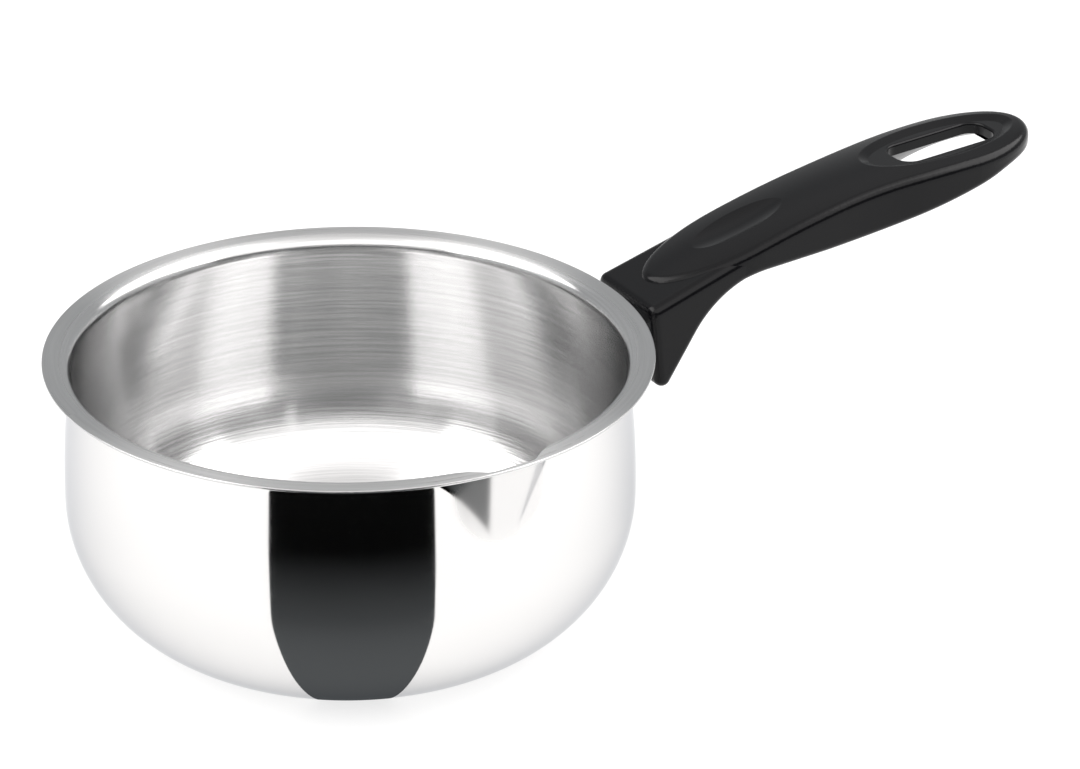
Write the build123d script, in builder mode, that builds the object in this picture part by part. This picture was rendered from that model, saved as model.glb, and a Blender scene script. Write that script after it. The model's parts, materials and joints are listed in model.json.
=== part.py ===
"""A small stainless milk pan: a bellied body with a flat pouring rim and one pressed
spout, and a black phenolic handle that one screw holds on a welded steel bracket.

The origin is the centre of the base, on the surface that the pan stands on. +Z is up,
+X runs along the handle, and the spout points towards -Y. Lengths are in millimetres.
"""
import os
from math import asin, cos, degrees, radians, sin, sqrt, tan

from build123d import *

# Pan body: a drawn bowl with a flat base, a round belly, a slight neck and a flat rim
wall = 0.8
pan_height = 81.0
rim_radius = 87.0
rim_overhang = 4.65
corner_radius = 15.0
corner_end_angle = 59.0
belly_radius = 41.7
shoulder_radius = 257.0
neck_radius = 3.5

# Pouring spout: a trough with three faces, pressed outwards from the wall to the rim
spout_bearing = -87.0
spout_face_angle = 52.0
spout_depth = 25.0
spout_lip_setback = 0.7
spout_lip_width = 14.6
spout_foot_setback = 6.4
spout_foot_width = 7.6
spout_run = 12.0
spout_ridge_radius = 3.2

# Handle bracket: a channel on a curved pad that is spot-welded to the wall
weld_gap = 0.1
bracket_thickness = 2.0
bracket_width = 20.0
pad_width = 32.0
pad_below_rim = 7.5
pad_height = 22.0
channel_depth = 10.0
channel_reach = 4.0
tongue_reach = 20.0
tongue_below_root_top = 8.6
tongue_end_radius = 4.0

# Handle: a root block with a foot, and a crowned grip that rises from it to a loop
handle_gap = 4.8
front_lean = 6.2
root_below_rim = 2.6
root_slope = 17.3
root_width = 32.0
root_end_width = 30.0
foot_depth = 28.8
foot_nose_radius = 2.6
foot_back_slope = 57.0
foot_back_length = 16.6
sweep_radius = 32.5
palm_slope = 4.5
palm_flat_length = 18.0
palm_radius = 265.0
palm_turn = 14.5
tip_radius = 40.0
tip_turn = 15.0
grip_nose_setback = 7.0
grip_nose_length = 32.0
grip_width = 31.0
grip_slope = 19.5
crest_setback = 7.8
crest_above_rim = 26.0
crest_radius = 340.0
crown_radius = 60.0
waist_length = 28.0
flare_length = 49.0
loop_width = 36.0
loop_length = 28.0
top_edge_radius = 3.2
bottom_edge_radius = 2.4

# Hanging slot through the floor of a recess in the loop, with a funnel that opens it from below
recess_setback = 2.0
recess_length = 61.0
recess_width = 32.4
recess_floor_length = 49.0
recess_floor_width = 18.6
recess_depth = 2.3
recess_edge_radius = 0.8
slot_setback = 13.1
slot_length = 35.2
slot_width = 13.4
slot_corner_radius = 5.0
slot_edge_radius = 0.8
web_thickness = 3.6
throat_length = 45.0
throat_width = 18.0
funnel_setback = 4.4
funnel_length = 54.5
funnel_width = 33.0
funnel_slope = 17.0
funnel_below_crest = 14.5

# Thumb rest: a long shallow dish in the top of the grip
thumb_length = 37.0
thumb_width = 14.5
thumb_depth = 1.6

# Screw and spring washer that pull the handle up on to the bracket's tongue
socket_clearance = 0.25
screw_x = 10.5
screw_radius = 2.5
screw_clearance = 0.3
thread_clearance = 0.1
screw_above_tongue = 2.5
clamped_thickness = 5.0
head_radius = 4.2
head_height = 3.0
head_edge_radius = 0.8
drive_length = 5.0
drive_width = 1.2
drive_depth = 1.4
washer_radius = 4.6
washer_thickness = 1.2
washer_split = 1.0
bore_clearance = 0.5

# How far a cut runs past the face that it opens, and the rise in the normal of an upright face
overrun = 5.0
upright_share = 0.01

# Centres of the arcs in the wall, which run tangent into one another
belly_reach = rim_radius - rim_overhang
belly_centre = (
    belly_reach - belly_radius,
    corner_radius + (belly_radius - corner_radius) * sin(radians(corner_end_angle)),
)
base_radius = belly_centre[0] + (belly_radius - corner_radius) * cos(radians(corner_end_angle))
corner_centre = (base_radius, corner_radius)
shoulder_centre = (belly_reach - shoulder_radius, belly_centre[1])
neck_rise = pan_height - wall - neck_radius - shoulder_centre[1]
neck_run = sqrt((shoulder_radius + neck_radius) ** 2 - neck_rise ** 2)
neck_centre = (shoulder_centre[0] + neck_run, shoulder_centre[1] + neck_rise)
neck_angle = degrees(asin(neck_rise / (shoulder_radius + neck_radius)))


def draw_wall(depth):
    """Draw the wall in section from the base's middle to the flange, at a depth in the metal."""
    base = Line((0, depth), (base_radius, depth))
    CenterArc(corner_centre, corner_radius - depth, -90, 90 - corner_end_angle)
    CenterArc(belly_centre, belly_radius - depth, -corner_end_angle, corner_end_angle)
    CenterArc(shoulder_centre, shoulder_radius - depth, 0, neck_angle)
    neck = CenterArc(neck_centre, neck_radius + depth, 180 + neck_angle, -90 - neck_angle)
    return base @ 0, neck @ 1


def trough(reach, width):
    """Corners of the trough seen from above: its lip, and two faces that run inwards."""
    spread = width / 2 + spout_run * tan(radians(spout_face_angle))
    inner = reach - spout_run
    return (reach, -width / 2), (reach, width / 2), (inner, spread), (inner, -spread)


bearing = radians(spout_bearing)
spout_top = Plane((0, 0, pan_height), (cos(bearing), sin(bearing), 0), (0, 0, 1))
spout_sections = (
    (spout_top.offset(-spout_depth), trough(rim_radius - spout_foot_setback, spout_foot_width)),
    (spout_top, trough(rim_radius - spout_lip_setback, spout_lip_width)),
)

with BuildPart() as pan_body:
    # The outside of the bowl and its flange, solid right through
    with BuildSketch(Plane.XZ):
        with BuildLine():
            middle, flange = draw_wall(0)
            Polyline(flange, (rim_radius, pan_height - wall), (rim_radius, pan_height),
                     (0, pan_height), middle)
        make_face()
    revolve(axis=Axis.Z)
    for plane, corners in spout_sections:
        with BuildSketch(plane) as trough_outside:
            Polygon(*corners, align=None)
            fillet(vertices().sort_by(Axis.X)[-2:], spout_ridge_radius)
    loft()
    # The hollow of the bowl, which leaves the wall and opens the spout
    with BuildSketch(Plane.XZ):
        with BuildLine():
            middle, flange = draw_wall(wall)
            Polyline(flange, (neck_centre[0], pan_height + overrun), (0, pan_height + overrun), middle)
        make_face()
    revolve(axis=Axis.Z, mode=Mode.SUBTRACT)
    for plane, corners in spout_sections:
        with BuildSketch(plane) as trough_inside:
            Polygon(*corners, align=None)
            fillet(vertices().sort_by(Axis.X)[-2:], spout_ridge_radius)
            offset(amount=-wall, mode=Mode.REPLACE)
    loft(mode=Mode.SUBTRACT)

# The handle stands clear of the rim, and the bracket bridges the gap
handle_front = rim_radius + handle_gap

# The bracket's tongue lies along the handle's slope: its underside is at height zero here
slope = radians(root_slope)
tongue_plane = Plane(
    (handle_front, 0, pan_height - root_below_rim - tongue_below_root_top),
    (cos(slope), 0, sin(slope)),
    (-sin(slope), 0, cos(slope)),
)

inward = handle_front - base_radius

with BuildPart() as handle_bracket:
    # The pad follows the outside of the wall
    with BuildSketch(Plane.YZ):
        with Locations((0, pan_height - pad_below_rim - pad_height / 2)):
            RectangleRounded(pad_width, pad_height, tongue_end_radius)
    extrude(amount=handle_front)
    with BuildSketch(Plane.XZ):
        with BuildLine():
            middle, flange = draw_wall(-weld_gap - bracket_thickness)
            Polyline(flange, (0, flange.Y), middle)
        make_face()
    revolve(axis=Axis.Z, mode=Mode.INTERSECT)
    # The channel: the tongue on top, and a short leg down each side
    with BuildSketch(tongue_plane):
        Rectangle(inward, bracket_width, align=(Align.MAX, Align.CENTER))
        Rectangle(tongue_reach, bracket_width, align=(Align.MIN, Align.CENTER))
        fillet(vertices().sort_by(Axis.X)[-2:], tongue_end_radius)
    extrude(amount=bracket_thickness)
    with BuildSketch(tongue_plane):
        with GridLocations(0, bracket_width - bracket_thickness, 1, 2):
            Rectangle(inward, bracket_thickness, align=(Align.MAX, Align.CENTER))
            Rectangle(channel_reach, bracket_thickness, align=(Align.MIN, Align.CENTER))
    extrude(amount=-channel_depth)
    with BuildSketch(tongue_plane):
        with Locations((screw_x, 0)):
            Circle(screw_radius + thread_clearance)
    extrude(amount=bracket_thickness, mode=Mode.SUBTRACT)
    # The whole bracket stops at the wall
    with BuildSketch(Plane.XZ):
        with BuildLine():
            middle, flange = draw_wall(-weld_gap)
            Polyline(flange, (0, flange.Y), middle)
        make_face()
    revolve(axis=Axis.Z, mode=Mode.SUBTRACT)

# Side views of the handle are drawn with heights measured from the rim
side_view = Plane((0, 0, pan_height), (1, 0, 0), (0, -1, 0))
lean = radians(front_lean)
foot_drop = foot_depth - root_below_rim - foot_nose_radius * (1 - sin(lean))


def root_top(x):
    """Height of the root block's top over the rim, at a place along the handle."""
    return (x - handle_front) * tan(slope) - root_below_rim


def upright_faces():
    """Faces of the solid being built that stand upright."""
    return faces().filter_by(lambda face: abs(face.normal_at().Z) < upright_share)


def level_faces(way):
    """Faces of the solid being built that look up (1) or down (-1), in order from the pan."""
    return faces().filter_by(lambda face: way * face.normal_at().Z > upright_share).sort_by(Axis.X)


# Places along the handle, from the pan outwards
grip_nose_x = handle_front + grip_nose_setback
grip_full_x = grip_nose_x + grip_nose_length
flare_x = grip_full_x + waist_length
loop_x = flare_x + flare_length
handle_end_x = loop_x + loop_length
crest_x = handle_end_x - crest_setback
recess_x = handle_end_x - recess_setback - recess_length / 2
slot_x = handle_end_x - slot_setback - slot_length / 2
funnel_x = handle_end_x - funnel_setback - funnel_length / 2

rise = radians(grip_slope)
crest_start = (crest_x - crest_radius * sin(rise), crest_above_rim - crest_radius * (1 - cos(rise)))

with BuildPart() as root:
    with BuildSketch(side_view):
        with BuildLine():
            front = Line(
                (handle_front, -root_below_rim),
                (handle_front + foot_drop * tan(lean), -root_below_rim - foot_drop),
            )
            nose = JernArc(front @ 1, front % 1, foot_nose_radius, 90 - front_lean + foot_back_slope)
            back = Line(nose @ 1, nose @ 1 + nose % 1 * foot_back_length)
            bend = JernArc(back @ 1, back % 1, sweep_radius, palm_slope - foot_back_slope)
            root_end = (bend @ 1).X
            Polyline(bend @ 1, (root_end, root_top(root_end)), front @ 0)
        make_face()
    extrude(amount=root_width, both=True)
    with BuildSketch():
        with BuildLine():
            Polyline(
                (handle_front, root_width / 2), (root_end, root_end_width / 2),
                (root_end, -root_end_width / 2), (handle_front, -root_width / 2), close=True,
            )
        make_face()
    extrude(amount=pan_height + rim_radius, mode=Mode.INTERSECT)
    fillet(upright_faces().edges() & level_faces(1).edges(), top_edge_radius)
    fillet(upright_faces().edges() & level_faces(-1).edges(), bottom_edge_radius)

with BuildPart() as grip:
    # The crowned top, carried along the rise and over the crest
    with BuildLine(side_view) as spine:
        climb = (crest_start[0] - handle_front) * tan(rise)
        Line((handle_front, crest_start[1] - climb), crest_start)
        crest_middle = (crest_x, crest_above_rim - crest_radius)
        CenterArc(crest_middle, crest_radius, 90 + grip_slope, -1.5 * grip_slope)
    crown_plane = Plane(spine.wire() @ 0, (0, 1, 0), spine.wire() % 0)
    with BuildSketch(crown_plane):
        with BuildLine():
            reach = degrees(asin(loop_width / crown_radius / 2))
            crown = CenterArc((0, -crown_radius), crown_radius, 90 - reach, 2 * reach)
            Polyline(crown @ 1, (-loop_width / 2, -pan_height),
                     (loop_width / 2, -pan_height), crown @ 0)
        make_face()
    sweep()
    # The nose, the waist and the loop, seen from above
    with BuildSketch():
        with BuildLine():
            EllipticalCenterArc((grip_full_x, 0), grip_nose_length, grip_width / 2,
                                start_angle=90, arc_size=180)
            EllipticalCenterArc((loop_x, 0), loop_length, loop_width / 2,
                                start_angle=-90, arc_size=180)
            flare = (loop_width - grip_width) / 4
            turn = 2 * degrees(asin(flare / sqrt((flare_length / 2) ** 2 + flare ** 2)))
            flare_radius = ((flare_length / 2) ** 2 + flare ** 2) / flare / 2
            for side in (1, -1):
                waist = Line((grip_full_x, side * grip_width / 2), (flare_x, side * grip_width / 2))
                out = JernArc(waist @ 1, waist % 1, flare_radius, side * turn)
                JernArc(out @ 1, out % 1, flare_radius, -side * turn)
        make_face()
    extrude(amount=pan_height + rim_radius, mode=Mode.INTERSECT)
    # The underside
    with BuildSketch(side_view):
        with BuildLine():
            add(bend)
            flat = Line(bend @ 1, bend @ 1 + bend % 1 * palm_flat_length)
            palm = JernArc(flat @ 1, flat % 1, palm_radius, palm_turn)
            tip = JernArc(palm @ 1, palm % 1, tip_radius, -tip_turn)
            end = Line(tip @ 1, tip @ 1 + tip % 1 * loop_length)
            Polyline(end @ 1, ((end @ 1).X, rim_radius), (handle_front, rim_radius),
                     (handle_front, (bend @ 0).Y), bend @ 0)
        make_face()
    extrude(amount=loop_width, both=True, mode=Mode.INTERSECT)
    fillet(upright_faces().edges() & level_faces(1).edges(), top_edge_radius)
    fillet(upright_faces().edges() & level_faces(-1)[1:].edges(), bottom_edge_radius)

# The screw's axis stands square on the tongue
screw_foot = tongue_plane.from_local_coords((screw_x, 0, 0))
screw_plane = Plane(screw_foot, tongue_plane.x_dir, tongue_plane.z_dir)
seat_plane = screw_plane.offset(-clamped_thickness)
head_plane = seat_plane.offset(-washer_thickness)
bore_radius = screw_radius + screw_clearance


def crest_frame(x):
    """Origin, direction and upward normal of the grip's crest, at a place along the handle."""
    angle = asin((crest_x - x) / crest_radius)
    height = pan_height + crest_above_rim - crest_radius * (1 - cos(angle))
    return (x, 0, height), (cos(angle), 0, sin(angle)), (-sin(angle), 0, cos(angle))


# The top of the grip where the thumb rests, and the arcs that bound the dish there
thumb_origin, thumb_along, thumb_up = crest_frame(grip_full_x)
thumb_plane = Plane(thumb_origin, thumb_along, (0, -1, 0))
thumb_side_radius = ((thumb_width / 2) ** 2 + thumb_depth ** 2) / thumb_depth / 2
thumb_long_radius = ((thumb_length / 2) ** 2 + thumb_depth ** 2) / thumb_depth / 2
thumb_axis_height = thumb_side_radius - thumb_depth
thumb_axis_half = sqrt(thumb_long_radius ** 2 - (thumb_long_radius - thumb_side_radius) ** 2)

# The recess's floor lies along the crest, and the funnel's mouth along the underside
recess_floor = Plane(*crest_frame(recess_x)).offset(-recess_depth)
recess_axis = Axis(recess_floor.origin, recess_floor.z_dir)
funnel_tilt = radians(funnel_slope)
funnel_mouth = Plane(
    (funnel_x, 0, pan_height + crest_above_rim - funnel_below_crest),
    (cos(funnel_tilt), 0, sin(funnel_tilt)),
    (-sin(funnel_tilt), 0, cos(funnel_tilt)),
)

with BuildPart() as handle:
    add(root.part)
    add(grip.part)
    # The thumb rest
    with BuildSketch(thumb_plane):
        with BuildLine():
            dish = ThreePointArc(
                (-thumb_axis_half, thumb_axis_height), (0, -thumb_depth),
                (thumb_axis_half, thumb_axis_height),
            )
            Line(dish @ 1, dish @ 0)
        make_face()
    thumb_axis = Axis(thumb_plane.from_local_coords((0, thumb_axis_height, 0)), thumb_plane.x_dir)
    revolve(axis=thumb_axis, mode=Mode.SUBTRACT)
    # The recess in the top of the loop, the funnel below it and the slot that joins them
    with BuildSketch(recess_floor):
        Ellipse(recess_floor_length / 2, recess_floor_width / 2)
    with BuildSketch(recess_floor.offset(recess_depth)):
        Ellipse(recess_length / 2, recess_width / 2)
    loft(mode=Mode.SUBTRACT)
    fillet(edges(Select.NEW).group_by(recess_axis)[-1], recess_edge_radius)
    with BuildSketch(funnel_mouth):
        Ellipse(funnel_length / 2, funnel_width / 2)
    with BuildSketch(recess_floor.offset(-web_thickness)):
        with Locations((slot_x - recess_x, 0)):
            Ellipse(throat_length / 2, throat_width / 2)
    loft(mode=Mode.SUBTRACT)
    with BuildSketch(recess_floor.offset(overrun)):
        with Locations((slot_x - recess_x, 0)):
            RectangleRounded(slot_length, slot_width, slot_corner_radius)
    extrude(amount=-overrun - web_thickness, mode=Mode.SUBTRACT)
    fillet(edges(Select.NEW).group_by(recess_axis)[-1], slot_edge_radius)
    # The socket for the tongue and for the channel's legs, open at the front face
    with BuildSketch(tongue_plane):
        Rectangle(2 * (tongue_reach + socket_clearance), bracket_width + 2 * socket_clearance)
        fillet(vertices().sort_by(Axis.X)[-2:], tongue_end_radius)
    extrude(amount=bracket_thickness + socket_clearance, mode=Mode.SUBTRACT)
    with BuildSketch(tongue_plane):
        with GridLocations(0, bracket_width - bracket_thickness, 1, 2):
            Rectangle(2 * (channel_reach + socket_clearance), bracket_thickness + 2 * socket_clearance)
    extrude(amount=-channel_depth - socket_clearance, mode=Mode.SUBTRACT)
    # The bore for the screw, past both faces of the tongue, and the counterbore for its head
    with BuildSketch(screw_plane.offset(bracket_thickness + screw_above_tongue + socket_clearance)):
        Circle(bore_radius)
    extrude(amount=-foot_depth, mode=Mode.SUBTRACT)
    with BuildSketch(seat_plane):
        Circle(washer_radius + bore_clearance)
    extrude(amount=-foot_depth, mode=Mode.SUBTRACT)

with BuildPart() as handle_screw:
    with BuildSketch(head_plane):
        Circle(screw_radius)
    extrude(amount=washer_thickness + clamped_thickness + bracket_thickness + screw_above_tongue)
    with BuildSketch(head_plane):
        Circle(head_radius)
    extrude(amount=-head_height)
    fillet(edges().group_by(Axis(head_plane.origin, head_plane.z_dir))[0], head_edge_radius)
    with BuildSketch(head_plane.offset(-head_height)):
        with PolarLocations(0, 2):
            Rectangle(drive_length, drive_width)
    extrude(amount=drive_depth, mode=Mode.SUBTRACT)

with BuildPart() as spring_washer:
    with BuildSketch(seat_plane):
        Circle(washer_radius)
        Circle(bore_radius, mode=Mode.SUBTRACT)
        Rectangle(washer_radius, washer_split, align=(Align.MIN, Align.CENTER), mode=Mode.SUBTRACT)
    extrude(amount=-washer_thickness)

os.makedirs("parts", exist_ok=True)
pan_body.part.label = "pan_body"
handle_bracket.part.label = "handle_bracket"
handle.part.label = "handle"
handle_screw.part.label = "handle_screw"
spring_washer.part.label = "spring_washer"
export_step(pan_body.part, "parts/pan_body.step")
export_step(handle_bracket.part, "parts/handle_bracket.step")
export_step(handle.part, "parts/handle.step")
export_step(handle_screw.part, "parts/handle_screw.step")
export_step(spring_washer.part, "parts/spring_washer.step")
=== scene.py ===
"""A milk pan on a light table in a studio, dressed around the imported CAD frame.

Every length in the settings is in millimetres and is turned to metres by mm().
"""
import json
import math

import bpy
from bpy.props import FloatProperty, FloatVectorProperty, IntProperty, PointerProperty
from mathutils import Matrix, Vector

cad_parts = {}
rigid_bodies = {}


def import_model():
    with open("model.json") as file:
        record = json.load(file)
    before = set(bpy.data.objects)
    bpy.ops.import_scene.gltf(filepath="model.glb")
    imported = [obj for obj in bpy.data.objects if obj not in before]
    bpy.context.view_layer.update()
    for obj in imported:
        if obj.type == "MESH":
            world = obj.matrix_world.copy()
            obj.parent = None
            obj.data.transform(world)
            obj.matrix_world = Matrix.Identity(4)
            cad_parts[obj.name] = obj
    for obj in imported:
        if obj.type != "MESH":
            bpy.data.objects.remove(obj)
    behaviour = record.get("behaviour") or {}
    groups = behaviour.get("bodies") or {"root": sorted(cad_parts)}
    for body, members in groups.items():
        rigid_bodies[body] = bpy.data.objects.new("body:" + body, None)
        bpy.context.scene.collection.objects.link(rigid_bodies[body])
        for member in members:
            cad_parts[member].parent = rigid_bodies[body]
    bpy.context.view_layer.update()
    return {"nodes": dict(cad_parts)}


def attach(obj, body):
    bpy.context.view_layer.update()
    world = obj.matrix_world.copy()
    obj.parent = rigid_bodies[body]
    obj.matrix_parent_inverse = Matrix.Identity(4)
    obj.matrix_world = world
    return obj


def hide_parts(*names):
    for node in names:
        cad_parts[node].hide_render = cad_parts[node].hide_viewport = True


bl_info = {
    "name": "Milk Pan",
    "version": (1, 0, 0),
    "blender": (4, 5, 0),
    "location": "View3D > Sidebar > Milk Pan",
    "description": "A spun steel milk pan with a pressed spout and a moulded phenolic handle",
    "category": "Object",
}

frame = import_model()
BODY = "root"

# Steps along each part of the wall's section, from the base's middle to the rim's edge
BASE_STEPS, CORNER_STEPS, BELLY_STEPS = 7, 12, 20
LOW_SHOULDER_STEPS, HIGH_SHOULDER_STEPS, NECK_STEPS = 9, 32, 10
FLANGE_STEPS, EDGE_STEPS = 4, 3
# Above this share of the shoulder the steps are fine, because the spout is pressed there
LOW_SHOULDER = 0.45
# Round of the rim's edge, as a share of the sheet
EDGE_ROUND = 0.3
# Where the spout's trough ends: shares of its depth above its foot, and radians to each side
TROUGH_END, TROUGH_TURN = -0.25, 0.55
# Centre of the patch that pressing leaves rough: a share of the spout's depth below the rim
PATCH_DROP = 0.4
# The brushed face starts this share of the sheet in, so the rim's edge is brushed too
BRUSHED_SHARE = 0.4
# Points of the bowl that are closer than this are joined, in millimetres
JOIN_DISTANCE = 0.005

# Half the side of the light table, and the camera's nearest and farthest view, in metres
TABLE_HALF = 6.0
CLIP_START, CLIP_END = 0.05, 50.0
# Width of the camera's sensor, and how far the card lies above the table, in millimetres
SENSOR_WIDTH = 36.0
CARD_LIFT = 0.5
# Reflections of reflections that are followed, because the bowl's walls mirror one another
MIRROR_BOUNCES = 8


def mm(value):
    """Millimetres to metres."""
    return value / 1000.0


def colour(hex_code):
    """An sRGB colour written as six hex digits, turned to linear light."""
    channels = [int(hex_code[i:i + 2], 16) / 255 for i in (0, 2, 4)]
    return [c / 12.92 if c <= 0.04045 else ((c + 0.055) / 1.055) ** 2.4 for c in channels]


def shade(hue, share=1.0):
    """A colour made lighter or darker by a share, with its alpha."""
    return (*[c * share for c in hue], 1.0)


def add_node(tree, kind, settings=None, **links):
    """Add one node. settings holds its own options. links holds its inputs, by name with _ for
    a space or by index as in_0, and each is a number, a colour or a socket to join."""
    node = tree.nodes.new(kind)
    for name, value in (settings or {}).items():
        setattr(node, name, value)
    for name, value in links.items():
        key = int(name[3:]) if name.startswith("in_") else name.replace("_", " ")
        socket = node.inputs[key]
        if isinstance(value, bpy.types.NodeSocket):
            tree.links.new(value, socket)
        else:
            socket.default_value = value
    return node


def amount(name, description, default):
    """A length in millimetres, a brightness or a ratio that the user can change."""
    return FloatProperty(name=name, description=description, default=default, min=0.0)


def tint(name, description, hex_code):
    """A colour that the user can change."""
    return FloatVectorProperty(name=name, description=description, subtype="COLOR",
                               size=3, min=0.0, max=1.0, default=colour(hex_code))


def degrees_of(name, description, default):
    """An angle that the user can change."""
    return FloatProperty(name=name, description=description, subtype="ANGLE",
                         default=math.radians(default))


class PanSettings(bpy.types.PropertyGroup):
    """Sizes and colours of the bowl."""
    height: amount("Height", "From the floor to the top of the rim", 81.0)
    wall: amount("Wall", "Thickness of the drawn sheet", 0.8)
    rim_radius: amount("Rim radius", "From the middle to the rim's edge", 87.0)
    belly_reach: amount("Belly reach", "Largest radius of the wall", 82.35)
    corner_radius: amount("Corner radius", "Round from the base into the belly", 15.0)
    belly_radius: amount("Belly radius", "Round of the belly in section", 41.7)
    shoulder_radius: amount("Shoulder radius", "Slight curve above the belly", 257.0)
    neck_radius: amount("Neck radius", "Round from the wall out to the rim", 3.5)
    corner_end: degrees_of("Corner end", "Where the corner runs into the belly", 59.0)
    spout_bearing: degrees_of("Spout bearing", "Direction of the spout from +X", -87.0)
    spout_face: degrees_of("Spout face", "Turn from the lip to each side face", 52.0)
    spout_depth: amount("Spout depth", "How far down the wall the spout starts", 25.0)
    lip_reach: amount("Lip reach", "From the middle to the outside of the lip", 86.3)
    lip_width: amount("Lip width", "Width of the lip's flat face", 14.6)
    foot_reach: amount("Foot reach", "From the middle to the foot of the spout", 80.6)
    foot_width: amount("Foot width", "Width of the foot of the spout", 7.6)
    press_round: amount("Press round", "Softness of the pressed creases", 1.5)
    spokes: IntProperty(name="Spokes", description="Divisions round the bowl",
                        default=440, min=48, max=600)
    crowding: FloatProperty(name="Crowding", default=0.72, min=0.0, max=0.9,
                            description="How much closer they are at the spout")
    outside: tint("Outside", "Mirror-polished steel", "e7e6e5")
    inside: tint("Inside", "Brushed steel", "d4d4d4")


class HandleSettings(bpy.types.PropertyGroup):
    """Finish of the handle and of what holds it."""
    plastic: tint("Plastic", "Black phenolic", "08080a")
    bracket: tint("Bracket", "Bracket's bare steel", "b9babc")
    zinc: tint("Zinc", "Plating of the screw and washer", "c8cacb")


class StageSettings(bpy.types.PropertyGroup):
    """Camera, light table, card and studio."""
    lens: FloatProperty(name="Lens", description="Focal length", subtype="DISTANCE_CAMERA",
                        default=122.2)
    distance: amount("Distance", "From the middle of the rim to the camera", 1044.0)
    azimuth: degrees_of("Azimuth", "Camera's turn round the pan", -27.4)
    elevation: degrees_of("Elevation", "Camera's height above the horizon", 25.52)
    yaw: degrees_of("Yaw", "Turn of the camera away from the rim's middle", 2.965)
    pitch: degrees_of("Pitch", "Tilt of the camera away from the rim's middle", -0.593)
    roll: degrees_of("Roll", "Turn of the camera about its own axis", -0.751)
    room_turn: degrees_of("Room turn", "Turn of the screens about the pan", 7.0)
    gap: degrees_of("Gap", "Half angle of the dark gap round the camera", 52.0)
    screen: degrees_of("Screen", "How far round the side screens reach", 119.0)
    screen_height: degrees_of("Screen height", "Where the side screens start", 24.0)
    room_height: degrees_of("Room height", "Where the dark gap ends", 26.0)
    back_height: degrees_of("Back height", "Where the wall behind ends", 45.0)
    overhead: degrees_of("Overhead", "Height at which the overhead screen starts", 66.0)
    screen_glow: amount("Screen glow", "Brightness of the side screens", 4.4)
    room_glow: amount("Room glow", "Brightness of the dark gap", 0.1)
    front_glow: amount("Front glow", "Brightness above the dark gap", 1.9)
    back_glow: amount("Back glow", "Brightness of the wall behind", 0.5)
    sky_glow: amount("Sky glow", "Brightness above the wall behind", 0.9)
    overhead_glow: amount("Overhead glow", "Brightness of the overhead screen", 1.0)
    table_glow: amount("Table glow", "Brightness of the light table", 0.75)
    floor: tint("Floor", "Opal sheet of the light table", "8c8c8c")
    card_near: amount("Card near", "From the pan's middle to the card's near end", 58.0)
    card_far: amount("Card far", "From the pan's middle to the card's far end", 700.0)
    card_point: amount("Card point", "Where the card's sides would meet", 42.6)
    card_spread: amount("Card spread", "Half width for each unit of length", 0.625)


def settings():
    """The settings of the bowl, of the handle and of the stage."""
    scene = bpy.context.scene
    return scene.milk_pan_bowl, scene.milk_pan_handle, scene.milk_pan_stage


# Materials

def new_material(name):
    """An empty material, its tree, and its output."""
    material = bpy.data.materials.new(name)
    material.use_nodes = True
    tree = material.node_tree
    tree.nodes.clear()
    return material, tree, tree.nodes.new("ShaderNodeOutputMaterial")


def polished_steel(hue, spout):
    """Stainless sheet buffed to a mirror: sharp reflections, a trace of buffing haze."""
    material, tree, out = new_material("stainless_mirror_buffed")
    place = add_node(tree, "ShaderNodeTexCoord").outputs["Object"]
    # Slow waves that a spun sheet keeps after buffing, about 30 mm long. The real ones are a
    # few hundredths of a millimetre high, and they are drawn up to 0.1 mm high to show
    swell = add_node(tree, "ShaderNodeTexNoise", Vector=place, Scale=35.0, Detail=1.0)
    bump = add_node(tree, "ShaderNodeBump", Strength=0.05, Distance=mm(2.0),
                    Height=swell.outputs["Fac"])
    # Buffing haze in soft patches about 6 mm wide
    haze = add_node(tree, "ShaderNodeTexNoise", Vector=place, Scale=180.0, Detail=3.0)
    polish = add_node(tree, "ShaderNodeMapRange", Value=haze.outputs["Fac"],
                      To_Min=0.035, To_Max=0.075)
    # Pressing the spout roughens the buffed skin round the middle of it
    patch_core, patch_edge, dulled = mm(12.0), mm(17.0), 0.34
    away = add_node(tree, "ShaderNodeVectorMath", {"operation": "DISTANCE"}, in_0=place,
                    in_1=spout)
    worked = add_node(tree, "ShaderNodeMapRange", {"interpolation_type": "SMOOTHSTEP"},
                      Value=away.outputs["Value"], From_Min=patch_core, From_Max=patch_edge,
                      To_Min=dulled, To_Max=0.0)
    rough = add_node(tree, "ShaderNodeMath", {"operation": "ADD"},
                     in_0=polish.outputs["Result"], in_1=worked.outputs["Result"])
    # The tint holds back the white that steel turns where it is seen edge-on
    steel = add_node(tree, "ShaderNodeBsdfPrincipled", Base_Color=shade(hue), Metallic=1.0,
                     Roughness=rough.outputs["Value"], Normal=bump.outputs["Normal"],
                     Specular_Tint=(0.7, 0.71, 0.73, 1.0))
    tree.links.new(steel.outputs["BSDF"], out.inputs["Surface"])
    return material


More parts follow.
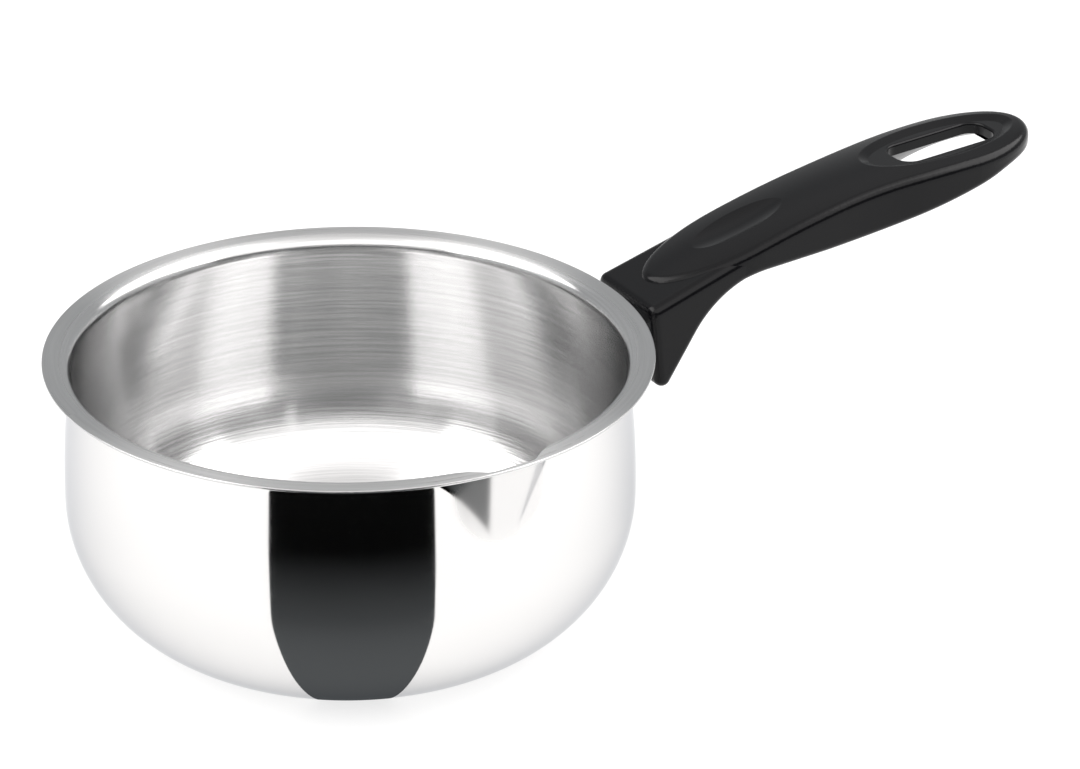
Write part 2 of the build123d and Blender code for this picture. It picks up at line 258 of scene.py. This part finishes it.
def brushed_steel(hue, rim):
    """Stainless sheet brushed as it spins: fine scratches that all run round the bowl."""
    material, tree, out = new_material("stainless_spun_brushed")
    place = add_node(tree, "ShaderNodeTexCoord").outputs["Object"]
    axes = add_node(tree, "ShaderNodeSeparateXYZ", Vector=place)
    level = add_node(tree, "ShaderNodeVectorMath", {"operation": "MULTIPLY"},
                     in_0=place, in_1=(1.0, 1.0, 0.0))
    reach = add_node(tree, "ShaderNodeVectorMath", {"operation": "LENGTH"},
                     in_0=level.outputs["Vector"])
    turn = add_node(tree, "ShaderNodeMath", {"operation": "ARCTAN2"},
                    in_0=axes.outputs["Y"], in_1=axes.outputs["X"])
    # Scratches are 0.02 mm wide on the real one, too fine to show, so they are drawn 1 mm
    # wide. A radian round the bowl counts as 2 mm, which makes them about 45 mm long
    ring = add_node(tree, "ShaderNodeMath", {"operation": "ADD"},
                    in_0=axes.outputs["Z"], in_1=reach.outputs["Value"])
    round_it = add_node(tree, "ShaderNodeMath", {"operation": "MULTIPLY"},
                        in_0=turn.outputs["Value"], in_1=mm(2.0))
    spun = add_node(tree, "ShaderNodeCombineXYZ", X=round_it.outputs["Value"],
                    Y=ring.outputs["Value"])
    scratch = add_node(tree, "ShaderNodeTexNoise", Vector=spun.outputs["Vector"],
                       Scale=900.0, Detail=3.0, Roughness=0.6)
    bump = add_node(tree, "ShaderNodeBump", Strength=0.25, Distance=mm(0.2),
                    Height=scratch.outputs["Fac"])
    fine = add_node(tree, "ShaderNodeMapRange", Value=scratch.outputs["Fac"],
                    To_Min=0.11, To_Max=0.18)
    # The flat of the rim, in the top millimetre, is brushed with a coarser belt
    coarse = add_node(tree, "ShaderNodeMapRange", Value=axes.outputs["Z"],
                      From_Min=rim - mm(1.0), From_Max=rim, To_Min=0.0, To_Max=0.14)
    rough = add_node(tree, "ShaderNodeMath", {"operation": "ADD"},
                     in_0=fine.outputs["Result"], in_1=coarse.outputs["Result"])
    tone = add_node(tree, "ShaderNodeMix", {"data_type": "RGBA"},
                    Factor=scratch.outputs["Fac"], in_6=shade(hue, 0.8), in_7=shade(hue, 1.15))
    back = add_node(tree, "ShaderNodeMath", {"operation": "MULTIPLY"},
                    in_0=axes.outputs["Y"], in_1=-1.0)
    along = add_node(tree, "ShaderNodeCombineXYZ", X=back.outputs["Value"],
                     Y=axes.outputs["X"])
    # Light spreads across the scratches, a quarter turn from the way that they run
    steel = add_node(tree, "ShaderNodeBsdfPrincipled", Base_Color=tone.outputs[2],
                     Metallic=1.0, Roughness=rough.outputs["Value"],
                     Normal=bump.outputs["Normal"], Anisotropic=1.0,
                     Anisotropic_Rotation=0.25, Tangent=along.outputs["Vector"])
    tree.links.new(steel.outputs["BSDF"], out.inputs["Surface"])
    return material


def moulded_phenolic(hue):
    """Black phenolic moulding compound: hard, dense and half glossy, with a faint grain."""
    material, tree, out = new_material("phenolic_moulded_black")
    place = add_node(tree, "ShaderNodeTexCoord").outputs["Object"]
    # Wood-flour filler shows as specks of about 0.6 mm
    speck = add_node(tree, "ShaderNodeTexNoise", Vector=place, Scale=1600.0, Detail=2.0)
    bump = add_node(tree, "ShaderNodeBump", Strength=0.06, Distance=mm(0.2),
                    Height=speck.outputs["Fac"])
    # Handling leaves the gloss a little uneven over 10 mm or so
    wear = add_node(tree, "ShaderNodeTexNoise", Vector=place, Scale=90.0, Detail=3.0)
    rough = add_node(tree, "ShaderNodeMapRange", Value=wear.outputs["Fac"],
                     To_Min=0.15, To_Max=0.22)
    tone = add_node(tree, "ShaderNodeMix", {"data_type": "RGBA"},
                    Factor=speck.outputs["Fac"], in_6=shade(hue, 0.8), in_7=shade(hue, 1.25))
    plastic = add_node(tree, "ShaderNodeBsdfPrincipled", Base_Color=tone.outputs[2], IOR=1.5,
                       Specular_IOR_Level=0.2, Roughness=rough.outputs["Result"],
                       Normal=bump.outputs["Normal"])
    tree.links.new(plastic.outputs["BSDF"], out.inputs["Surface"])
    return material


def plated_steel(name, hue, low, high):
    """Small steel parts as they leave the press or the plating bath: satin, faintly mottled."""
    material, tree, out = new_material(name)
    place = add_node(tree, "ShaderNodeTexCoord").outputs["Object"]
    # Mottle of about 1.7 mm in tone and in gloss
    mottle = add_node(tree, "ShaderNodeTexNoise", Vector=place, Scale=600.0, Detail=4.0)
    rough = add_node(tree, "ShaderNodeMapRange", Value=mottle.outputs["Fac"],
                     To_Min=low, To_Max=high)
    tone = add_node(tree, "ShaderNodeMix", {"data_type": "RGBA"},
                    Factor=mottle.outputs["Fac"], in_6=shade(hue, 0.85), in_7=shade(hue))
    bump = add_node(tree, "ShaderNodeBump", Strength=0.1, Distance=mm(0.1),
                    Height=mottle.outputs["Fac"])
    steel = add_node(tree, "ShaderNodeBsdfPrincipled", Base_Color=tone.outputs[2],
                     Metallic=1.0, Roughness=rough.outputs["Result"],
                     Normal=bump.outputs["Normal"])
    tree.links.new(steel.outputs["BSDF"], out.inputs["Surface"])
    return material


def light_table(hue, glow):
    """Opal acrylic lit from below: an even white with hardly any shadow."""
    material, tree, out = new_material("acrylic_opal_light_table")
    sheet = add_node(tree, "ShaderNodeBsdfPrincipled", Base_Color=shade(hue), Roughness=0.7,
                     Emission_Color=(1.0, 1.0, 1.0, 1.0), Emission_Strength=glow)
    tree.links.new(sheet.outputs["BSDF"], out.inputs["Surface"])
    return material


def reflection_only_card(near):
    """Black card seen only in the bowl's reflections, a painted reflection of a dark band; its
    end by the pan has a painted glow that stands in for the light it would catch.
    """
    material, tree, out = new_material("card_black_painted_glow")
    place = add_node(tree, "ShaderNodeTexCoord").outputs["Object"]
    reach = add_node(tree, "ShaderNodeVectorMath", {"operation": "LENGTH"}, in_0=place)
    # The painted glow is gone at 4.5 times the distance of the card's near end
    fade, lit, dark = 4.5, 0.11, 0.001
    painted_glow_strength = add_node(tree, "ShaderNodeMapRange", {"interpolation_type": "SMOOTHSTEP"},
                    Value=reach.outputs["Value"], From_Min=near, From_Max=near * fade,
                    To_Min=lit, To_Max=dark)
    # Painted light: the card glows though it is no lamp, brightest by the pan
    glow = add_node(tree, "ShaderNodeEmission", Color=(0.9, 0.96, 1.0, 1.0),
                    Strength=painted_glow_strength.outputs["Result"])
    tree.links.new(glow.outputs["Emission"], out.inputs["Surface"])
    return material


# The stage

def surround(scene, s, toward):
    """The studio round the table. A dark gap lies round the camera, lighter above, with a
    bright screen on each side of it, a dim wall behind the pan and a screen overhead."""
    world = bpy.data.worlds.new("studio")
    scene.world = world
    world.use_nodes = True
    tree = world.node_tree
    way = add_node(tree, "ShaderNodeTexCoord").outputs["Generated"]
    height = add_node(tree, "ShaderNodeSeparateXYZ", Vector=way).outputs["Z"]
    flat = add_node(tree, "ShaderNodeVectorMath", {"operation": "MULTIPLY"}, in_0=way,
                    in_1=(1.0, 1.0, 0.0))
    level = add_node(tree, "ShaderNodeVectorMath", {"operation": "NORMALIZE"},
                     in_0=flat.outputs["Vector"])
    facing = add_node(tree, "ShaderNodeVectorMath", {"operation": "DOT_PRODUCT"},
                      in_0=level.outputs["Vector"], in_1=toward).outputs["Value"]

    # Each blend has a name, what passes its edge, the edge, half the width of the blend, and
    # the brightness before and after it, which is a number or an earlier blend
    blends = (
        ("behind", height, math.sin(s.back_height), 0.12, s.back_glow, s.sky_glow),
        ("before", height, math.sin(s.room_height), 0.08, s.room_glow, s.front_glow),
        ("beside", height, math.sin(s.screen_height), 0.05, s.back_glow, s.screen_glow),
        ("sides", facing, math.cos(s.screen), 0.05, "behind", "beside"),
        ("front", facing, math.cos(s.gap), 0.05, "sides", "before"),
        ("all", height, math.sin(s.overhead), 0.1, "front", s.overhead_glow),
    )
    made = {}
    for name, value, edge, soft, first, last in blends:
        made[name] = add_node(
            tree, "ShaderNodeMapRange", {"interpolation_type": "SMOOTHSTEP"}, Value=value,
            From_Min=edge - soft, From_Max=edge + soft, To_Min=made.get(first, first),
            To_Max=made.get(last, last)).outputs["Result"]
    # The dark parts of the room are cool and the screens are slightly warm
    light = add_node(tree, "ShaderNodeMix", {"data_type": "RGBA"}, Factor=made["all"],
                     in_6=(0.93, 0.975, 1.0, 1.0), in_7=(1.0, 0.985, 0.98, 1.0))
    background = tree.nodes["Background"]
    tree.links.new(light.outputs[2], background.inputs["Color"])
    tree.links.new(made["all"], background.inputs["Strength"])


def stage_sheet(name, corners):
    """A flat sheet that belongs to the stage and not to the pan."""
    sheet = bpy.data.objects.new(name, bpy.data.meshes.new(name))
    sheet.data.from_pydata(corners, [], [(0, 1, 2, 3)])
    bpy.context.scene.collection.objects.link(sheet)
    return sheet


def wear_material(piece, material):
    """Put one material on every face of a piece."""
    piece.data.materials.clear()
    piece.data.materials.append(material)


# The bowl

def wall_section(s):
    """The sheet in section: points (reach, height, depth in the sheet) in metres, from the
    base's middle along the outside, round the rim's edge and back along the inside."""
    end = s.corner_end
    belly = (s.belly_reach - s.belly_radius,
             s.corner_radius + (s.belly_radius - s.corner_radius) * math.sin(end))
    base = belly[0] + (s.belly_radius - s.corner_radius) * math.cos(end)
    shoulder = (s.belly_reach - s.shoulder_radius, belly[1])
    rise = s.height - s.wall - s.neck_radius - belly[1]
    run = math.sqrt((s.shoulder_radius + s.neck_radius) ** 2 - rise ** 2)
    neck = (shoulder[0] + run, shoulder[1] + rise)
    lean = math.asin(rise / (s.shoulder_radius + s.neck_radius))

    def arc(centre, radius, start, stop, steps):
        """Points along an arc, without its first."""
        return [(centre[0] + radius * math.cos(start + (stop - start) * i / steps),
                 centre[1] + radius * math.sin(start + (stop - start) * i / steps))
                for i in range(1, steps + 1)]

    def side(depth):
        """One face of the sheet, from the base's middle to where the neck is level."""
        quarter = math.pi / 2
        split = lean * LOW_SHOULDER
        return ([(base * i / BASE_STEPS, depth) for i in range(BASE_STEPS + 1)]
                + arc((base, s.corner_radius), s.corner_radius - depth, -quarter, -end,
                      CORNER_STEPS)
                + arc(belly, s.belly_radius - depth, -end, 0.0, BELLY_STEPS)
                + arc(shoulder, s.shoulder_radius - depth, 0.0, split, LOW_SHOULDER_STEPS)
                + arc(shoulder, s.shoulder_radius - depth, split, lean, HIGH_SHOULDER_STEPS)
                + arc(neck, s.neck_radius + depth, math.pi + lean, quarter, NECK_STEPS))

    edge = s.wall * EDGE_ROUND
    outside = side(0.0)
    top = s.height
    flange = [(neck[0] + (s.rim_radius - edge - neck[0]) * i / FLANGE_STEPS, top - s.wall)
              for i in range(1, FLANGE_STEPS + 1)]
    under = arc((s.rim_radius - edge, top - s.wall + edge), edge, -math.pi / 2, 0.0,
                EDGE_STEPS)
    over = arc((s.rim_radius - edge, top - edge), edge, 0.0, math.pi / 2, EDGE_STEPS)
    back = [(x, top) for x, _ in reversed(flange[:-1])]
    inside = side(s.wall)[::-1]
    path = [(*p, 0.0) for p in outside + flange + under] + \
           [(*p, s.wall) for p in over + back + inside]
    return [tuple(mm(v) for v in p) for p in path]


def section_object(s):
    """The wall's section as a chain of points, each with its depth in the sheet."""
    path = wall_section(s)
    mesh = bpy.data.meshes.new("wall_section")
    mesh.from_pydata([(r, 0.0, z) for r, z, _ in path],
                     [(i, i + 1) for i in range(len(path) - 1)], [])
    depth = mesh.attributes.new("depth", "FLOAT", "POINT")
    depth.data.foreach_set("value", [d for _, _, d in path])
    chain = bpy.data.objects.new("pan_shell", mesh)
    bpy.context.scene.collection.objects.link(chain)
    return chain, len(path)


def bowl_tree():
    """Geometry nodes that spin a wall's section round the vertical axis and press a spout in
    it. The trough's three faces are planes, and wall inside of them moves out to them."""
    tree = bpy.data.node_groups.new("spun_bowl_with_spout", "GeometryNodeTree")
    inputs = {
        "NodeSocketGeometry": ("Section",),
        "NodeSocketInt": ("Spokes", "Rows"),
        "NodeSocketFloat": ("Crowding", "Bearing", "Face Angle", "Rim Height", "Spout Depth",
                            "Lip Reach", "Lip Width", "Foot Reach", "Foot Width",
                            "Press Round", "Brushed Depth"),
        "NodeSocketMaterial": ("Outside", "Inside"),
    }
    for kind, names in inputs.items():
        for name in names:
            tree.interface.new_socket(name, in_out="INPUT", socket_type=kind)
    tree.interface.new_socket("Bowl", in_out="OUTPUT", socket_type="NodeSocketGeometry")
    known = {socket.name: socket for socket in tree.nodes.new("NodeGroupInput").outputs}

    # One grid point for each spoke and each point of the section. Each step has a name, an
    # operation, and its terms, which are numbers, inputs or earlier steps
    grid = add_node(tree, "GeometryNodeMeshGrid", Vertices_X=known["Spokes"],
                    Vertices_Y=known["Rows"])
    known["index"] = add_node(tree, "GeometryNodeInputIndex").outputs["Index"]
    counting = (
        ("centred", "ADD", "index", 0.5),
        ("passed", "DIVIDE", "centred", "Rows"),
        ("spoke", "FLOOR", "passed"),
        ("skipped", "MULTIPLY", "spoke", "Rows"),
        ("row", "SUBTRACT", "index", "skipped"),
    )
    for name, operation, *terms in counting:
        known[name] = add_node(
            tree, "ShaderNodeMath", {"operation": operation},
            **{f"in_{i}": known.get(term, term) for i, term in enumerate(terms)}
        ).outputs["Value"]

    # What the section holds for the point: its reach, its height and its depth in the sheet
    position = add_node(tree, "GeometryNodeInputPosition").outputs["Position"]
    place = add_node(tree, "GeometryNodeSampleIndex", {"data_type": "FLOAT_VECTOR"},
                     Geometry=known["Section"], Index=known["row"], Value=position)
    point = add_node(tree, "ShaderNodeSeparateXYZ", Vector=place.outputs["Value"])
    held = add_node(tree, "GeometryNodeInputNamedAttribute", {"data_type": "FLOAT"},
                    Name="depth").outputs["Attribute"]
    depth = add_node(tree, "GeometryNodeSampleIndex", {"data_type": "FLOAT"},
                     Geometry=known["Section"], Index=known["row"], Value=held)
    known.update(reach=point.outputs["X"], height=point.outputs["Z"],
                 depth=depth.outputs["Value"])

    pressing = (
        # The spokes stand closer together near the spout, where the turn is zero
        ("gaps", "SUBTRACT", "Spokes", 1.0),
        ("share", "DIVIDE", "spoke", "gaps"),
        ("even", "MULTIPLY_ADD", "share", 2 * math.pi, -math.pi),
        ("wave", "SINE", "even"),
        ("pull", "MULTIPLY", "Crowding", "wave"),
        ("turn", "SUBTRACT", "even", "pull"),
        # How far up the spout the point is, and the trough's reach and half width there
        ("foot", "SUBTRACT", "Rim Height", "Spout Depth"),
        ("above", "SUBTRACT", "height", "foot"),
        ("climb", "DIVIDE", "above", "Spout Depth"),
        ("flare", "SUBTRACT", "Lip Reach", "Foot Reach"),
        ("lip", "MULTIPLY_ADD", "climb", "flare", "Foot Reach"),
        ("growth", "SUBTRACT", "Lip Width", "Foot Width"),
        ("width", "MULTIPLY_ADD", "climb", "growth", "Foot Width"),
        ("half", "DIVIDE", "width", 2.0),
        # Reach of the trough's front plane in the point's direction
        ("ahead", "COSINE", "turn"),
        ("lip side", "SUBTRACT", "lip", "depth"),
        ("front", "DIVIDE", "lip side", "ahead"),
        # Reach of the plane on the point's side of it
        ("sine", "SINE", "Face Angle"),
        ("cosine", "COSINE", "Face Angle"),
        ("sway", "SINE", "turn"),
        ("aside", "ABSOLUTE", "sway"),
        ("lip part", "MULTIPLY", "lip", "sine"),
        ("half part", "MULTIPLY", "half", "cosine"),
        ("plane", "ADD", "lip part", "half part"),
        ("plane side", "SUBTRACT", "plane", "depth"),
        ("ahead part", "MULTIPLY", "ahead", "sine"),
        ("aside part", "MULTIPLY", "aside", "cosine"),
        ("slant", "ADD", "ahead part", "aside part"),
        ("flank", "DIVIDE", "plane side", "slant"),
        ("trough", "SMOOTH_MIN", "front", "flank", "Press Round"),
        # The trough ends a short way down the wall and to each side
        ("high", "GREATER_THAN", "climb", TROUGH_END),
        ("off", "ABSOLUTE", "turn"),
        ("close", "LESS_THAN", "off", TROUGH_TURN),
        ("near", "MULTIPLY", "high", "close"),
        ("dent", "MULTIPLY", "trough", "near"),
        ("pressed", "SMOOTH_MAX", "reach", "dent", "Press Round"),
        # The point's place round the bowl
        ("bearing", "ADD", "turn", "Bearing"),
        ("cosine of bearing", "COSINE", "bearing"),
        ("sine of bearing", "SINE", "bearing"),
        ("x", "MULTIPLY", "pressed", "cosine of bearing"),
        ("y", "MULTIPLY", "pressed", "sine of bearing"),
    )
    for name, operation, *terms in pressing:
        known[name] = add_node(
            tree, "ShaderNodeMath", {"operation": operation},
            **{f"in_{i}": known.get(term, term) for i, term in enumerate(terms)}
        ).outputs["Value"]

    spot = add_node(tree, "ShaderNodeCombineXYZ", X=known["x"], Y=known["y"],
                    Z=known["height"])
    kept = add_node(tree, "GeometryNodeStoreNamedAttribute",
                    {"data_type": "FLOAT", "domain": "POINT"},
                    Geometry=grid.outputs["Mesh"], Name="depth", Value=known["depth"])
    spun = add_node(tree, "GeometryNodeSetPosition", Geometry=kept.outputs["Geometry"],
                    Position=spot.outputs["Vector"])
    closed = add_node(tree, "GeometryNodeMergeByDistance", Geometry=spun.outputs["Geometry"],
                      Distance=mm(JOIN_DISTANCE))
    smooth = add_node(tree, "GeometryNodeSetShadeSmooth", Geometry=closed.outputs["Geometry"])
    outer = add_node(tree, "GeometryNodeSetMaterial", Geometry=smooth.outputs["Geometry"],
                     Material=known["Outside"])
    deep = add_node(tree, "ShaderNodeMath", {"operation": "GREATER_THAN"}, in_0=held,
                    in_1=known["Brushed Depth"])
    inner = add_node(tree, "GeometryNodeSetMaterial", Geometry=outer.outputs["Geometry"],
                     Material=known["Inside"], Selection=deep.outputs["Value"])
    whole = add_node(tree, "GeometryNodeRealizeInstances", Geometry=inner.outputs["Geometry"])
    out = tree.nodes.new("NodeGroupOutput")
    tree.links.new(whole.outputs["Geometry"], out.inputs["Bowl"])
    return tree


def apply_tree(piece, tree, values):
    """Run a geometry tree on a piece with these inputs, and keep what it makes as its mesh."""
    modifier = piece.modifiers.new(tree.name, "NODES")
    modifier.node_group = tree
    for item in tree.interface.items_tree:
        if item.in_out == "INPUT" and item.name in values:
            modifier[item.identifier] = values[item.name]
    made = bpy.data.meshes.new_from_object(
        piece.evaluated_get(bpy.context.evaluated_depsgraph_get()))
    piece.modifiers.remove(modifier)
    piece.data = made
    if not made.polygons:
        raise RuntimeError(f"{tree.name} made nothing")


class MILKPAN_OT_bowl(bpy.types.Operator):
    """Spin the bowl from its section and press the spout"""
    bl_idname = "milkpan.bowl"
    bl_label = "Spin the bowl"

    def execute(self, context):
        s = settings()[0]
        piece, rows = section_object(s)
        # The middle of the spout, round which the steel is left rough
        spout = [mm(s.foot_reach * turn(s.spout_bearing)) for turn in (math.cos, math.sin)]
        spout.append(mm(s.height - s.spout_depth * PATCH_DROP))
        apply_tree(piece, bowl_tree(), {
            "Spokes": s.spokes, "Rows": rows, "Crowding": s.crowding,
            "Bearing": s.spout_bearing, "Face Angle": s.spout_face,
            "Rim Height": mm(s.height), "Spout Depth": mm(s.spout_depth),
            "Lip Reach": mm(s.lip_reach), "Lip Width": mm(s.lip_width),
            "Foot Reach": mm(s.foot_reach), "Foot Width": mm(s.foot_width),
            "Press Round": mm(s.press_round), "Brushed Depth": mm(s.wall * BRUSHED_SHARE),
            "Outside": polished_steel(s.outside, spout),
            "Inside": brushed_steel(s.inside, mm(s.height)),
        })
        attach(piece, BODY)
        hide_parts("pan_body")
        return {"FINISHED"}


class MILKPAN_OT_handle(bpy.types.Operator):
    """Give the moulded handle its black phenolic finish"""
    bl_idname = "milkpan.handle"
    bl_label = "Finish the handle"

    def execute(self, context):
        wear_material(frame["nodes"]["handle"], moulded_phenolic(settings()[1].plastic))
        return {"FINISHED"}


class MILKPAN_OT_fixings(bpy.types.Operator):
    """Give the bracket, the screw and the washer their metal finishes"""
    bl_idname = "milkpan.fixings"
    bl_label = "Finish the fixings"

    def execute(self, context):
        s = settings()[1]
        nodes = frame["nodes"]
        # Each has its finish, its colour, and its least and greatest roughness
        for name, finish in (
                ("handle_bracket", ("mild_steel_pressed", s.bracket, 0.28, 0.42)),
                ("handle_screw", ("steel_zinc_bright", s.zinc, 0.18, 0.3)),
                ("spring_washer", ("steel_zinc_dull", s.zinc, 0.3, 0.45))):
            wear_material(nodes[name], plated_steel(*finish))
        return {"FINISHED"}


class MILKPAN_OT_stage(bpy.types.Operator):
    """Set up the camera, the floor and the soft light"""
    bl_idname = "milkpan.stage"
    bl_label = "Set the stage"

    def execute(self, context):
        pan, _, s = settings()
        scene = context.scene
        scene.view_settings.view_transform = "Standard"
        scene.cycles.glossy_bounces = MIRROR_BOUNCES

        # The camera looks at the middle of the rim, and is then turned, tilted and rolled
        target = Vector((0.0, 0.0, mm(pan.height)))
        back = Vector((math.sin(s.azimuth) * math.cos(s.elevation),
                       -math.cos(s.azimuth) * math.cos(s.elevation), math.sin(s.elevation)))
        ahead = -back
        right = ahead.cross(Vector((0.0, 0.0, 1.0))).normalized()
        up = right.cross(ahead)
        turned = ahead * math.cos(s.yaw) + right * math.sin(s.yaw)
        right = right * math.cos(s.yaw) - ahead * math.sin(s.yaw)
        look = turned * math.cos(s.pitch) + up * math.sin(s.pitch)
        up = up * math.cos(s.pitch) - turned * math.sin(s.pitch)
        level, over = right, up
        right = level * math.cos(s.roll) + over * math.sin(s.roll)
        up = over * math.cos(s.roll) - level * math.sin(s.roll)
        lens = bpy.data.cameras.new("camera")
        lens.lens, lens.sensor_width = s.lens, SENSOR_WIDTH
        lens.clip_start, lens.clip_end = CLIP_START, CLIP_END
        camera = bpy.data.objects.new("camera", lens)
        scene.collection.objects.link(camera)
        turn = Matrix((right, up, -look)).transposed()
        camera.matrix_world = Matrix.Translation(target + back * mm(s.distance)) @ turn.to_4x4()
        scene.camera = camera

        toward = Vector((math.sin(s.azimuth), -math.cos(s.azimuth), 0.0))
        floor = stage_sheet("floor", [(TABLE_HALF * x, TABLE_HALF * y, 0)
                                      for x, y in ((-1, -1), (1, -1), (1, 1), (-1, 1))])
        wear_material(floor, light_table(s.floor, s.table_glow))
        # The card lies on the table and widens from near the base toward the camera
        across = Vector((-toward.y, toward.x, 0.0))
        low = Vector((0.0, 0.0, mm(CARD_LIFT)))
        card = stage_sheet("reflection_only_card", [
            toward * mm(reach) + across * mm((reach - s.card_point) * s.card_spread * side)
            + low for reach, side in ((s.card_near, -1), (s.card_near, 1),
                                      (s.card_far, 1), (s.card_far, -1))])
        wear_material(card, reflection_only_card(mm(s.card_near)))
        # It is there for the reflections in the bowl alone: a painted reflection, unseen by the
        # camera, by diffuse light and by shadows
        card.visible_camera = card.visible_diffuse = card.visible_shadow = False
        surround(scene, s, toward * math.cos(s.room_turn) + across * math.sin(s.room_turn))
        return {"FINISHED"}


class MILKPAN_PT_panel(bpy.types.Panel):
    """The pan's sizes, colours and steps"""
    bl_label = "Milk Pan"
    bl_idname = "MILKPAN_PT_panel"
    bl_space_type = "VIEW_3D"
    bl_region_type = "UI"
    bl_category = "Milk Pan"

    def draw(self, context):
        groups = zip(settings(), (("milkpan.bowl",), ("milkpan.handle", "milkpan.fixings"),
                                  ("milkpan.stage",)))
        for group, steps in groups:
            box = self.layout.box()
            for name in group.bl_rna.properties.keys():
                if name not in ("rna_type", "name"):
                    box.prop(group, name)
            for step in steps:
                box.operator(step)


CLASSES = (PanSettings, HandleSettings, StageSettings, MILKPAN_OT_bowl, MILKPAN_OT_handle,
           MILKPAN_OT_fixings, MILKPAN_OT_stage, MILKPAN_PT_panel)


def register():
    """Make the classes known and hang the settings on the scene."""
    for cls in CLASSES:
        bpy.utils.register_class(cls)
    bpy.types.Scene.milk_pan_bowl = PointerProperty(type=PanSettings)
    bpy.types.Scene.milk_pan_handle = PointerProperty(type=HandleSettings)
    bpy.types.Scene.milk_pan_stage = PointerProperty(type=StageSettings)


def unregister():
    """Take back what register() did."""
    del bpy.types.Scene.milk_pan_stage
    del bpy.types.Scene.milk_pan_handle
    del bpy.types.Scene.milk_pan_bowl
    for cls in reversed(CLASSES):
        bpy.utils.unregister_class(cls)


def main():
    register()
    # The factory scene's own objects
    for obj in list(bpy.data.objects):
        if obj.type in {"CAMERA", "LIGHT"} or obj.name == "Cube":
            bpy.data.objects.remove(obj)
    bpy.ops.milkpan.bowl()
    bpy.ops.milkpan.handle()
    bpy.ops.milkpan.fixings()
    bpy.ops.milkpan.stage()
    bpy.context.view_layer.update()


if __name__ == "__main__":
    main()
